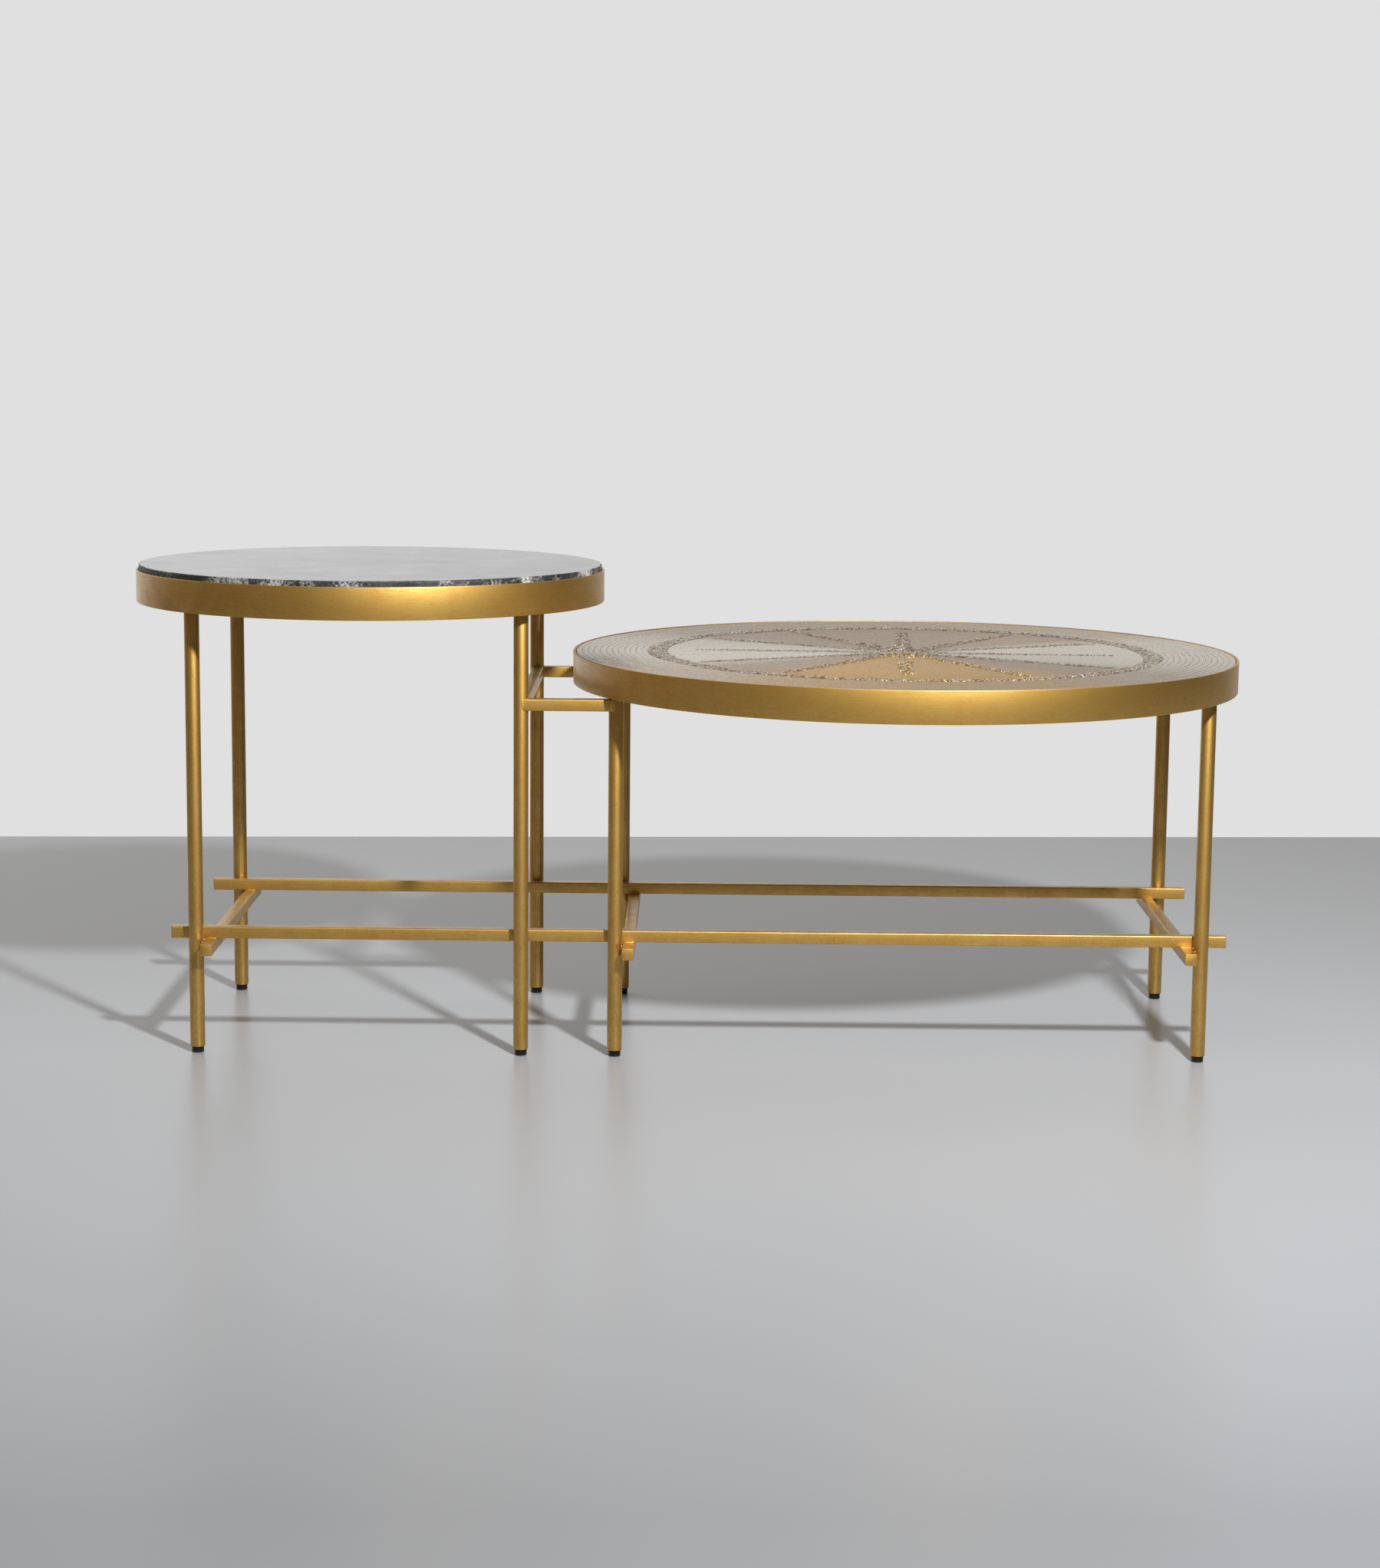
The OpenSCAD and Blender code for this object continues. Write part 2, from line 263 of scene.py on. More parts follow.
def marble_colour(tree, place, finish):
    """Clouded dark stone with fine pale veins in the lighter clouds.

    Returns the colour and the bent coordinates that the clouds and veins follow.
    """
    bend = add_node(tree, "ShaderNodeTexNoise",
                    {"Vector": place, "Scale": 1 / (160 * MM), "Detail": 4, "Roughness": 0.55})
    moved = add_node(tree, "ShaderNodeVectorMath",
                     {0: bend.outputs["Color"], 1: (0.22, 0.22, 0.22)}, operation="MULTIPLY")
    bent = add_node(tree, "ShaderNodeVectorMath", {0: place, 1: moved.outputs["Vector"]},
                    operation="ADD")
    cloud = add_node(tree, "ShaderNodeTexNoise",
                     {"Vector": bent.outputs["Vector"], "Scale": 1 / (90 * MM), "Detail": 8,
                      "Roughness": 0.65})
    cloudy = add_node(tree, "ShaderNodeMapRange",
                      {"Value": cloud.outputs["Fac"], "From Min": 0.42, "From Max": 0.72})
    ground = add_node(tree, "ShaderNodeMix",
                      {0: cloudy.outputs["Result"], MIX_A: finish.marble,
                       MIX_B: finish.marble_cloud}, data_type="RGBA")
    crack = add_node(tree, "ShaderNodeTexNoise",
                     {"Vector": bent.outputs["Vector"], "Scale": 1 / (55 * MM), "Detail": 10,
                      "Roughness": 0.6})
    away = add_node(tree, "ShaderNodeMath", {0: crack.outputs["Fac"], 1: 0.5},
                    operation="SUBTRACT")
    line = add_node(tree, "ShaderNodeMath", {0: away.outputs["Value"]}, operation="ABSOLUTE")
    fine = add_node(tree, "ShaderNodeMapRange",
                    {"Value": line.outputs["Value"], "From Min": 0.011, "From Max": 0.0,
                     "To Max": 0.7})
    where = add_node(tree, "ShaderNodeMapRange",
                     {"Value": cloud.outputs["Fac"], "From Min": 0.46, "From Max": 0.66})
    vein = add_node(tree, "ShaderNodeMath",
                    {0: fine.outputs["Result"], 1: where.outputs["Result"]},
                    operation="MULTIPLY")
    colour = add_node(tree, "ShaderNodeMix",
                      {0: vein.outputs["Value"], MIX_A: ground.outputs[MIX_RESULT],
                       MIX_B: finish.marble_vein}, data_type="RGBA")
    return colour.outputs[MIX_RESULT], bent.outputs["Vector"]


def polished_marble(name):
    """Dark marble with a polished face: a hard gloss that mirrors the room at a low angle."""
    finish = bpy.context.scene.nesting_tables.finish
    material, tree, place = start_material(name)
    colour, bent = marble_colour(tree, place, finish)
    haze = add_node(tree, "ShaderNodeTexNoise",
                    {"Vector": bent, "Scale": 1 / (120 * MM), "Detail": 6, "Roughness": 0.6})
    rough = add_node(tree, "ShaderNodeMapRange",
                     {"Value": haze.outputs["Fac"], "From Min": 0.3, "From Max": 0.7,
                      "To Min": 0.05, "To Max": 0.15})
    end_material(tree, {"Base Color": colour, "Roughness": rough.outputs["Result"], "IOR": 1.62})
    return material


def broken_marble(name):
    """The stone's sawn and hand-broken edge: matt, dark, with bright crystals 1 to 4 mm across."""
    finish = bpy.context.scene.nesting_tables.finish
    material, tree, place = start_material(name)
    colour, _ = marble_colour(tree, place, finish)
    crystal = add_node(tree, "ShaderNodeTexNoise",
                       {"Vector": place, "Scale": 1 / (3.5 * MM), "Detail": 6, "Roughness": 0.75})
    patch = add_node(tree, "ShaderNodeTexNoise",
                     {"Vector": place, "Scale": 1 / (45 * MM), "Detail": 3})
    both = add_node(tree, "ShaderNodeMath",
                    {0: crystal.outputs["Fac"], 1: patch.outputs["Fac"]}, operation="ADD")
    bright = add_node(tree, "ShaderNodeMapRange",
                      {"Value": both.outputs["Value"], "From Min": 1.02, "From Max": 1.25,
                       "To Max": 0.85})
    dull = add_node(tree, "ShaderNodeMix",
                    {0: 0.6, MIX_A: colour, MIX_B: finish.marble_edge}, data_type="RGBA")
    mixed = add_node(tree, "ShaderNodeMix",
                     {0: bright.outputs["Result"], MIX_A: dull.outputs[MIX_RESULT],
                      MIX_B: finish.marble_vein}, data_type="RGBA")
    bump = add_node(tree, "ShaderNodeBump",
                    {"Height": crystal.outputs["Fac"], "Strength": 0.8, "Distance": 0.8 * MM})
    end_material(tree, {"Base Color": mixed.outputs[MIX_RESULT], "Roughness": 0.5, "IOR": 1.5,
                        "Normal": bump.outputs["Normal"]})
    return material


def embossed_metal(name):
    """Pressed metal sheet, silvered, with painted light on the petals, browned in the hollows and
    lacquered.

    The "relief" attribute is 0 in a hollow, 0.5 on a plain face and up to 1 on a bead; bead tops turn
    pale, as rubbed metal and painted highlight. Polishing rings 2.4 mm apart tilt the face in and out,
    and a sandy grain 3 mm across roughens it.
    """
    finish = bpy.context.scene.nesting_tables.finish
    material, tree, place = start_material(name)
    relief = add_node(tree, "ShaderNodeAttribute", attribute_name="relief").outputs["Fac"]
    grain = add_node(tree, "ShaderNodeTexNoise",
                     {"Vector": place, "Scale": 1 / (3 * MM), "Detail": 4, "Roughness": 0.7})
    # Bead tops turn pale: rubbed metal and painted highlight.
    bead = add_node(tree, "ShaderNodeMapRange", {"Value": relief, "From Min": 0.5, "From Max": 0.7})
    outwards, radius = from_middle(tree, place)
    # Painted light on the petals: painted highlight in gold and painted shade in bronze.
    face = painted_petal_light(tree, place, outwards, radius, finish)
    pale = add_node(tree, "ShaderNodeMix",
                    {0: bead.outputs["Result"], MIX_A: face, MIX_B: finish.sheet_bead_rubbed_and_highlit},
                    data_type="RGBA")
    raised = add_node(tree, "ShaderNodeMapRange",
                      {"Value": relief, "From Min": 0.02, "From Max": 0.22})
    worn = add_node(tree, "ShaderNodeMapRange",
                    {"Value": grain.outputs["Fac"], "From Min": 0.35, "From Max": 0.6,
                     "To Min": 0.55, "To Max": 1.0})
    shown = add_node(tree, "ShaderNodeMath",
                     {0: raised.outputs["Result"], 1: worn.outputs["Result"]}, operation="MULTIPLY")
    colour = add_node(tree, "ShaderNodeMix",
                      {0: shown.outputs["Value"], MIX_A: finish.sheet_valley,
                       MIX_B: pale.outputs[MIX_RESULT]}, data_type="RGBA")
    rough = add_node(tree, "ShaderNodeMapRange",
                     {"Value": shown.outputs["Value"], "To Min": 0.7, "To Max": 0.3})
    tilted = polished_rings(tree, outwards, radius, bead.outputs["Result"], grain.outputs["Color"])
    end_material(tree, {"Base Color": colour.outputs[MIX_RESULT], "Metallic": 1.0,
                        "Roughness": rough.outputs["Result"], "Normal": tilted,
                        "Coat Weight": 0.3, "Coat Roughness": 0.2, "Coat Normal": tilted})
    return material


def from_middle(tree, place):
    """The level direction away from the low top's middle, and the distance from it."""
    centre = middle("embossed_sheet")
    moved = add_node(tree, "ShaderNodeVectorMath", {0: place, 1: centre}, operation="SUBTRACT")
    flat = add_node(tree, "ShaderNodeVectorMath", {0: moved.outputs["Vector"], 1: (1, 1, 0)},
                    operation="MULTIPLY")
    radius = add_node(tree, "ShaderNodeVectorMath", {0: flat.outputs["Vector"]}, operation="LENGTH")
    outwards = add_node(tree, "ShaderNodeVectorMath", {0: flat.outputs["Vector"]},
                        operation="NORMALIZE")
    return outwards.outputs["Vector"], radius.outputs["Value"]


def painted_petal_light(tree, place, outwards, radius, finish):
    """Painted light on the petals: painted highlight in gold on the two front petals, painted shade in
    bronze on the front and back petals; the left and right petals stay silvery.
    """
    patch = add_node(tree, "ShaderNodeTexNoise",
                     {"Vector": place, "Scale": 1 / (90 * MM), "Detail": 4, "Roughness": 0.55})
    way = add_node(tree, "ShaderNodeSeparateXYZ", {"Vector": outwards})
    jitter = add_node(tree, "ShaderNodeMath",
                      {0: patch.outputs["Fac"], 1: 0.16, 2: way.outputs["Y"]},
                      operation="MULTIPLY_ADD")
    # Painted highlight: gold on the petals that face the front.
    front = add_node(tree, "ShaderNodeMapRange",
                     {"Value": jitter.outputs["Value"], "From Min": -0.68, "From Max": -0.84})
    # Painted shade: bronze on the petals that face the front and the back.
    spread = add_node(tree, "ShaderNodeMath", {0: way.outputs["Y"]}, operation="ABSOLUTE")
    away = add_node(tree, "ShaderNodeMapRange",
                    {"Value": spread.outputs["Value"], "From Min": 0.42, "From Max": 0.62,
                     "To Max": 0.8})
    petal = add_node(tree, "ShaderNodeMapRange",
                     {"Value": radius, "From Min": 335 * MM, "From Max": 300 * MM,
                      "To Min": 0.5})
    gold = add_node(tree, "ShaderNodeMath",
                    {0: front.outputs["Result"], 1: petal.outputs["Result"]}, operation="MULTIPLY")
    painted_shade_mask = add_node(tree, "ShaderNodeMath",
                       {0: away.outputs["Result"], 1: petal.outputs["Result"]},
                       operation="MULTIPLY")
    bronze = add_node(tree, "ShaderNodeMix",
                      {0: painted_shade_mask.outputs["Value"], MIX_A: finish.sheet, MIX_B: finish.sheet_shade_bronze},
                      data_type="RGBA")
    face = add_node(tree, "ShaderNodeMix",
                    {0: gold.outputs["Value"], MIX_A: bronze.outputs[MIX_RESULT],
                     MIX_B: finish.sheet_highlight_gold}, data_type="RGBA")
    return face.outputs[MIX_RESULT]


def polished_rings(tree, outwards, radius, bead, grain):
    """The face's direction, tilted by polishing rings (not on the beads) and by the grain."""
    ring_pitch, ring_slope, grain_slope = 2.4 * MM, 0.6, 0.5
    phase = add_node(tree, "ShaderNodeMath", {0: radius, 1: math.tau / ring_pitch},
                     operation="MULTIPLY")
    wave = add_node(tree, "ShaderNodeMath", {0: phase.outputs["Value"]}, operation="SINE")
    slope = add_node(tree, "ShaderNodeMapRange", {"Value": bead, "To Min": ring_slope, "To Max": 0})
    tilt = add_node(tree, "ShaderNodeMath", {0: wave.outputs["Value"], 1: slope.outputs["Result"]},
                    operation="MULTIPLY")
    lean = add_node(tree, "ShaderNodeVectorMath", {0: outwards, "Scale": tilt.outputs["Value"]},
                    operation="SCALE")
    off_centre = add_node(tree, "ShaderNodeVectorMath", {0: grain, 1: (0.5, 0.5, 0.5)},
                          operation="SUBTRACT")
    shake = add_node(tree, "ShaderNodeVectorMath",
                     {0: off_centre.outputs["Vector"], "Scale": grain_slope}, operation="SCALE")
    normal = add_node(tree, "ShaderNodeNewGeometry").outputs["Normal"]
    leaning = add_node(tree, "ShaderNodeVectorMath", {0: normal, 1: lean.outputs["Vector"]},
                       operation="ADD")
    shaken = add_node(tree, "ShaderNodeVectorMath",
                      {0: leaning.outputs["Vector"], 1: shake.outputs["Vector"]}, operation="ADD")
    return add_node(tree, "ShaderNodeVectorMath", {0: shaken.outputs["Vector"]},
                    operation="NORMALIZE").outputs["Vector"]


def zinc_plate(name):
    """Bright zinc plate on steel: a cool grey metal with a fine crystalline mottle."""
    finish = bpy.context.scene.nesting_tables.finish
    material, tree, place = start_material(name)
    mottle = add_node(tree, "ShaderNodeTexNoise",
                      {"Vector": place, "Scale": 1 / (1.5 * MM), "Detail": 3})
    rough = add_node(tree, "ShaderNodeMapRange",
                     {"Value": mottle.outputs["Fac"], "To Min": 0.25, "To Max": 0.45})
    bump = add_node(tree, "ShaderNodeBump",
                    {"Height": mottle.outputs["Fac"], "Strength": 0.3, "Distance": 0.05 * MM})
    end_material(tree, {"Base Color": finish.zinc, "Metallic": 1.0,
                        "Roughness": rough.outputs["Result"], "Normal": bump.outputs["Normal"]})
    return material


def moulded_plastic(name):
    """Glossy black polypropylene, injection moulded, with a faint flow texture in the gloss."""
    finish = bpy.context.scene.nesting_tables.finish
    material, tree, place = start_material(name)
    flow = add_node(tree, "ShaderNodeTexNoise", {"Vector": place, "Scale": 1 / (4 * MM), "Detail": 2})
    rough = add_node(tree, "ShaderNodeMapRange",
                     {"Value": flow.outputs["Fac"], "To Min": 0.16, "To Max": 0.3})
    end_material(tree, {"Base Color": finish.plastic, "Roughness": rough.outputs["Result"],
                        "IOR": 1.49})
    return material


def soft_silicone(name):
    """Clear silicone: soft, slightly milky and a little glossy."""
    finish = bpy.context.scene.nesting_tables.finish
    material, tree, place = start_material(name)
    dust = add_node(tree, "ShaderNodeTexNoise", {"Vector": place, "Scale": 1 / (6 * MM), "Detail": 3})
    rough = add_node(tree, "ShaderNodeMapRange",
                     {"Value": dust.outputs["Fac"], "To Min": 0.3, "To Max": 0.5})
    end_material(tree, {"Base Color": finish.silicone, "Roughness": rough.outputs["Result"],
                        "IOR": 1.41, "Transmission Weight": 0.5})
    return material


def raw_fibreboard(name):
    """Raw fibreboard: pale brown, matt and fuzzy, with fibres about 2 mm long."""
    finish = bpy.context.scene.nesting_tables.finish
    material, tree, place = start_material(name)
    fibre = add_node(tree, "ShaderNodeTexNoise",
                     {"Vector": place, "Scale": 1 / (2 * MM), "Detail": 5, "Roughness": 0.7})
    dark = add_node(tree, "ShaderNodeMapRange",
                    {"Value": fibre.outputs["Fac"], "From Min": 0.3, "From Max": 0.7,
                     "To Min": 0.55, "To Max": 1.0})
    colour = add_node(tree, "ShaderNodeMix",
                      {0: dark.outputs["Result"], MIX_A: linear("#5A4027"), MIX_B: finish.board},
                      data_type="RGBA")
    bump = add_node(tree, "ShaderNodeBump",
                    {"Height": fibre.outputs["Fac"], "Strength": 0.4, "Distance": 0.2 * MM})
    end_material(tree, {"Base Color": colour.outputs[MIX_RESULT], "Roughness": 0.85,
                        "Normal": bump.outputs["Normal"]})
    return material


# Shapes

def leg_axis(leg):
    """The point on a leg's axis at its lower end, and the height of its upper end."""
    low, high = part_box(leg + "_leg")
    return Vector(((low.x + high.x) / 2, (low.y + high.y) / 2, low.z)), high.z


def middle(node):
    """The middle of a CAD node's box."""
    low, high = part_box(node)
    return (low + high) / 2


def bevel_corners(bm, geometry, radius, affect="EDGES", segments=3):
    """Rounds edges or corners with an even arc."""
    bmesh.ops.bevel(bm, geom=geometry, offset=radius, offset_type="OFFSET", affect=affect,
                    segments=segments, profile=0.5, material=-1)


def draw_outline(bm, points, closed=True, corner=0.0, segments=3):
    """Draws (radius, height) points in the XZ plane as a wire, with its corners rounded."""
    verts = [bm.verts.new((radius, 0, height)) for radius, height in points]
    if closed:
        bm.faces.new(verts)
        if corner:
            bevel_corners(bm, verts, corner, "VERTICES", segments)
        bmesh.ops.delete(bm, geom=bm.faces[:], context="FACES_ONLY")
    else:
        for pair in zip(verts, verts[1:]):
            bm.edges.new(pair)


def spin_outline(bm, steps, sectors=1):
    """Turns the wire once round the Z axis. A fine disc is made faster from several equal sectors."""
    bmesh.ops.spin(bm, geom=bm.verts[:] + bm.edges[:], cent=(0, 0, 0), axis=UP, dvec=(0, 0, 0),
                   angle=math.tau / sectors, steps=steps // sectors, use_merge=sectors == 1,
                   use_normal_flip=False, use_duplicate=False)
    sector = bm.verts[:] + bm.edges[:] + bm.faces[:]
    for number in range(1, sectors):
        copy = bmesh.ops.duplicate(bm, geom=sector)["geom"]
        bmesh.ops.rotate(bm, verts=[part for part in copy if isinstance(part, bmesh.types.BMVert)],
                         cent=(0, 0, 0), matrix=Matrix.Rotation(math.tau * number / sectors, 3, "Z"))


def close_up(bm):
    """Merges the seam and the poles, and turns every face outwards."""
    bmesh.ops.remove_doubles(bm, verts=bm.verts[:], dist=0.002 * MM)
    bmesh.ops.recalc_face_normals(bm, faces=bm.faces[:])


def move_to(bm, place):
    """Moves the whole mesh."""
    bmesh.ops.translate(bm, verts=bm.verts[:], vec=place)


def square_tube(bm, low, high, wall, corner):
    """A square tube with open ends that fills the box from low to high along its longest side."""
    size = high - low
    along = max(range(3), key=lambda axis: size[axis])
    place = Matrix.Translation((low + high) / 2) @ Matrix.Diagonal((*size, 1))
    bmesh.ops.create_cube(bm, size=1, matrix=place)
    lengthways = [e for e in bm.edges if abs((e.verts[0].co - e.verts[1].co)[along]) > size[along] / 2]
    bevel_corners(bm, lengthways, corner, segments=4)
    bm.normal_update()
    ends = [f for f in bm.faces if abs(f.normal[along]) > 0.5]
    bmesh.ops.delete(bm, geom=ends, context="FACES")
    bmesh.ops.recalc_face_normals(bm, faces=bm.faces[:])
    bmesh.ops.solidify(bm, geom=bm.faces[:], thickness=wall)


def weld_outline(length, radius):
    """Radius and height along a weld bead: rounded ends and a ripple every 1.6 mm."""
    rings = max(8, round(length / (0.45 * MM)))
    outline = []
    for i in range(rings + 1):
        share = i / rings
        swell = math.sin(math.pi * share) ** 0.35 if 0 < share < 1 else 0
        ripple = 1 + 0.09 * math.sin(math.tau * share * length / (1.6 * MM))
        outline.append((radius * swell * ripple, share * length))
    return outline


def add_weld(bm, start, end, radius):
    """Adds a rippled weld bead along a straight joint."""
    bead = bmesh.new()
    draw_outline(bead, weld_outline((end - start).length, radius), closed=False)
    spin_outline(bead, 10)
    close_up(bead)
    turn = UP.rotation_difference((end - start).normalized()).to_matrix().to_4x4()
    bmesh.ops.transform(bead, matrix=Matrix.Translation(start) @ turn, verts=bead.verts[:])
    add_mesh(bm, bead)


def add_mesh(bm, part):
    """Adds one bmesh to another and frees it."""
    mesh = bpy.data.meshes.new("part")
    part.to_mesh(mesh)
    part.free()
    bm.from_mesh(mesh)
    bpy.data.meshes.remove(mesh)


def make_piece(bm, name, body, materials, replaced=(), sharp=35):
    """Turns a finished bmesh into a piece that rides on a body and shows its materials."""
    mesh = bpy.data.meshes.new(name)
    bm.to_mesh(mesh)
    bm.free()
    mesh.shade_smooth()
    mesh.set_sharp_from_angle(angle=math.radians(sharp))
    for material in materials:
        mesh.materials.append(material)
    piece = bpy.data.objects.new(name, mesh)
    bpy.context.scene.collection.objects.link(piece)
    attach(piece, body)
    if replaced:
        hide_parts(*replaced)
    return piece


def coat_node(node, material):
    """Gives a CAD node one material."""
    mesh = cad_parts[node].data
    mesh.materials.clear()
    mesh.materials.append(material)


# Operators

class TABLES_OT_bands(bpy.types.Operator):
    """Roll the two brass bands from flat bar with softened edges"""

    bl_idname = "tables.bands"
    bl_label = "Bands"

    def execute(self, context):
        shape = context.scene.nesting_tables.shape
        for table, steps in (("tall", 256), ("low", 320)):
            low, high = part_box(table + "_band")
            centre = (low + high) / 2
            outer = (high.x - low.x) / 2
            ledge_low, ledge_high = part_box(table + "_ledge")
            inner = (ledge_high.x - ledge_low.x) / 2
            bm = bmesh.new()
            corners = [(inner, low.z), (outer, low.z), (outer, high.z), (inner, high.z)]
            draw_outline(bm, corners, corner=shape.band_corner)
            spin_outline(bm, steps, sectors=8)
            close_up(bm)
            move_to(bm, (centre.x, centre.y, 0))
            make_piece(bm, table + "_band_ring", "frame", [brass_along()],
                       [table + "_band"])
            coat_node(table + "_ledge", brass_along())
        return {"FINISHED"}


class TABLES_OT_legs(bpy.types.Operator):
    """Turn the eight leg tubes, with a softened lower end"""

    bl_idname = "tables.legs"
    bl_label = "Legs"

    def execute(self, context):
        for leg in LEGS:
            low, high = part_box(leg + "_leg")
            outer = (high.x - low.x) / 2
            bore = outer - LEG_WALL
            bm = bmesh.new()
            corners = [(bore, low.z), (outer, low.z), (outer, high.z), (bore, high.z)]
            draw_outline(bm, corners, corner=LEG_END_ROUND)
            spin_outline(bm, 48)
            close_up(bm)
            move_to(bm, (*leg_axis(leg)[0].xy, 0))
            make_piece(bm, leg + "_tube", "frame", [brass_upright()],
                       [leg + "_leg"])
        return {"FINISHED"}


class TABLES_OT_bars(bpy.types.Operator):
    """Draw the square tubes of the stretchers, crossbars and links, and their end plates"""

    bl_idname = "tables.bars"
    bl_label = "Square bars"

    def execute(self, context):
        shape = context.scene.nesting_tables.shape
        for node in (*STRETCHERS, *CROSSBARS, *LINKS):
            low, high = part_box(node)
            bm = bmesh.new()
            square_tube(bm, low, high, BAR_WALL, shape.tube_corner)
            make_piece(bm, node + "_bar", "frame", [brass_along()], [node])
        self.end_plates(shape)
        return {"FINISHED"}

    def end_plates(self, shape):
        """Closes each open end with a plate as thick as the tube, welded on and ground flush."""
        plates = bmesh.new()
        for node in (*STRETCHERS, *CROSSBARS):
            low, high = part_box(node)
            size = high - low
            along = max(range(3), key=lambda axis: size[axis])
            for end in (-1, 1):
                centre = (low + high) / 2
                centre[along] = (high if end > 0 else low)[along] + end * BAR_WALL / 2
                thin = size.copy()
                thin[along] = BAR_WALL
                plate = bmesh.new()
                bmesh.ops.create_cube(plate, size=1,
                                      matrix=Matrix.Translation(centre) @ Matrix.Diagonal((*thin, 1)))
                edges = [e for e in plate.edges
                         if abs((e.verts[0].co - e.verts[1].co)[along]) > BAR_WALL / 2]
                bevel_corners(plate, edges, shape.tube_corner, segments=4)
                outer = [f for f in plate.faces if f.normal[along] * end > 0.5]
                rim = [e for f in outer for e in f.edges]
                bevel_corners(plate, rim, PLATE_ROUND, segments=2)
                close_up(plate)
                add_mesh(plates, plate)
        make_piece(plates, "bar_end_plates", "frame", [brass_along()],
                   ["bar_end_caps"])


class TABLES_OT_welds(bpy.types.Operator):
    """Lay the weld beads where legs, bars and ledges meet"""

    bl_idname = "tables.welds"
    bl_label = "Welds"

    def execute(self, context):
        radius = context.scene.nesting_tables.shape.weld
        lower = bmesh.new()
        for leg in LEGS:
            self.along_bar(lower, leg, f"{leg.split('_')[1]}_stretcher", 1, radius)
        for crossbar, pattern in CROSSBARS.items():
            for end in ("front", "back"):
                self.along_bar(lower, pattern.format(end), crossbar, 0, radius)
                self.bar_crossing(lower, crossbar, end + "_stretcher", radius)
        make_piece(lower, "lower_welds", "frame", [brass_along()])
        links = bmesh.new()
        self.link_ends(links, radius)
        make_piece(links, "link_welds", "frame", [brass_along()])
        tops = bmesh.new()
        for leg in LEGS:
            self.leg_top(tops, leg, radius)
        make_piece(tops, "leg_top_welds", "frame", [brass_along()])
        return {"FINISHED"}

    def along_bar(self, bm, leg, bar, across, radius):
        """Two upright beads in the grooves where a round leg touches the flat side of a bar."""
        axis, _ = leg_axis(leg)
        low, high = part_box(bar)
        leg_low, leg_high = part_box(leg + "_leg")
        leg_r = (leg_high.x - leg_low.x) / 2
        face = low[across] if abs(low[across] - axis[across]) < abs(high[across] - axis[across]) \
            else high[across]
        towards = math.copysign(1, axis[across] - face)
        # A bead this size touches both sides of the groove at 2 * sqrt(leg_r * radius).
        out = 2 * math.sqrt(leg_r * radius) * 0.86
        for side in (-1, 1):
            start = Vector((0, 0, low.z))
            start[across] = face + towards * radius * 0.55
            start[1 - across] = axis[1 - across] + side * out
            end = start.copy()
            end.z = high.z
            add_weld(bm, start, end, radius)

    def bar_crossing(self, bm, crossbar, stretcher, radius):
        """Two level beads where a stretcher lies on a crossbar."""
        low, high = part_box(crossbar)
        side_low, side_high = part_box(stretcher)
        for y in (side_low.y, side_high.y):
            add_weld(bm, Vector((low.x, y, high.z)), Vector((high.x, y, high.z)), radius * 0.6)

    def link_ends(self, bm, radius):
        """Beads down the sides of each link bar's ends and across their tops."""
        leg_low, leg_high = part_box("tall_front_right_leg")
        leg_r = (leg_high.x - leg_low.x) / 2
        joints = [("front_link", "tall_front_right"), ("front_link", "low_front_left"),
                  ("back_link", "tall_back_right"), ("back_link", "low_back_left"),
                  ("cross_link", "tall_front_right"), ("cross_link", "tall_back_right")]
        for link, leg in joints:
            low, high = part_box(link)
            axis, _ = leg_axis(leg)
            along = 1 if link == "cross_link" else 0
            across = 1 - along
            inwards = math.copysign(1, ((low + high) / 2 - axis)[along])
            for face in (low[across], high[across]):
                offset = face - axis[across]
                reach = math.sqrt(max(leg_r ** 2 - min(abs(offset), leg_r) ** 2, 0))
                start = Vector((0, 0, low.z + radius * 0.3))
                start[along] = axis[along] + inwards * (reach + radius * 0.2)
                start[across] = face - math.copysign(radius * 0.45, offset)
                end = start.copy()
                end.z = high.z - radius * 0.3
                add_weld(bm, start, end, radius)
            for level in (low.z, high.z):
                start = Vector((0, 0, level))
                start[along] = axis[along] + inwards * leg_r * 0.93
                start[across] = low[across] + radius * 0.4
                end = start.copy()
                end[across] = high[across] - radius * 0.4
                add_weld(bm, start, end, radius * 0.8)

    def leg_top(self, bm, leg, radius):
        """A ring of weld round a leg's upper end, under its ledge."""
        axis, top = leg_axis(leg)
        low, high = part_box(leg + "_leg")
        leg_r = (high.x - low.x) / 2
        ring = bmesh.new()
        bmesh.ops.create_circle(ring, segments=8, radius=radius,
                                matrix=Matrix.Translation((leg_r + radius * 0.1, 0, 0))
                                @ Matrix.Rotation(math.pi / 2, 4, "X"))
        spin_outline(ring, 48)
        close_up(ring)
        ripples, ripple_height = 26, 0.12 * MM
        for vert in ring.verts:
            angle = math.atan2(vert.co.y, vert.co.x)
            vert.co.z += ripple_height * math.sin(ripples * angle)
        move_to(ring, (*axis.xy, top - radius * 0.25))
        add_mesh(bm, ring)


